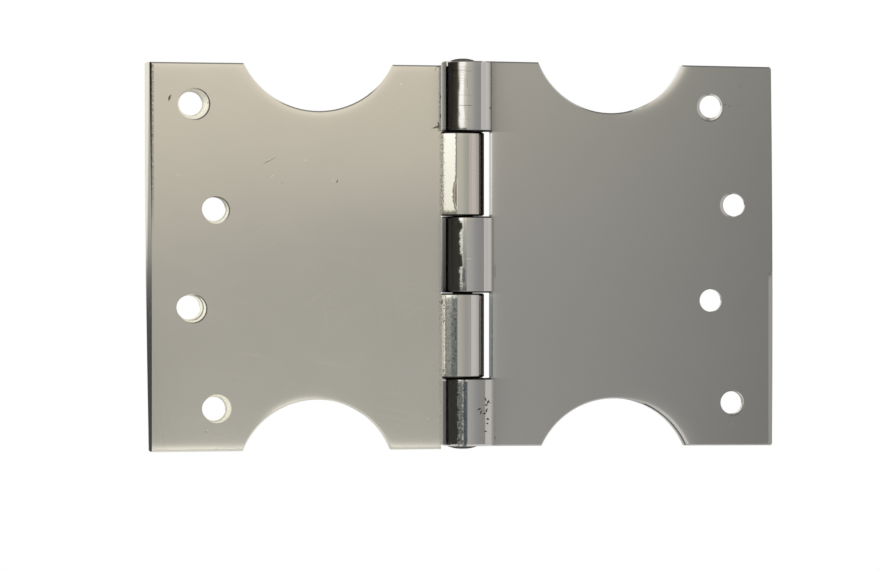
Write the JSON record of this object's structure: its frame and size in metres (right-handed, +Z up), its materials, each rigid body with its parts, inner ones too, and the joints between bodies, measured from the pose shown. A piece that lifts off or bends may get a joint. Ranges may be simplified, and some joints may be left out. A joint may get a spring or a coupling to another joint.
{
  "type": "parliament hinge",
  "caption": "Wide-leaf parliament hinge in polished metal, opened flat, with round notches in the leaf edges and rolled knuckles on a riveted pin.",
  "frame": {"origin": "on the pin's axis, halfway up the stack of knuckles", "axes": "+Z up the pin, +X across the opened hinge to the leaf with more knuckles, -Y the outer side, which lies against door and frame"},
  "size_m": [0.1575, 0.0108, 0.0966],
  "materials": {
    "right_leaf": "polished, with fine scratches",
    "left_leaf": "polished, with fine scratches",
    "pin": "polished, peened at both ends"
  },
  "bodies": {
    "right": {"right_leaf": "right_leaf", "pin": "pin"},
    "left": {"left_leaf": "left_leaf"}
  },
  "joints": [
    {"name": "swing", "type": "hinge", "parent": "right", "child": "left", "pos_m": [0, 0, 0], "axis": [0, 0, -1], "range_deg": [-102, 181.5]}
  ]
}
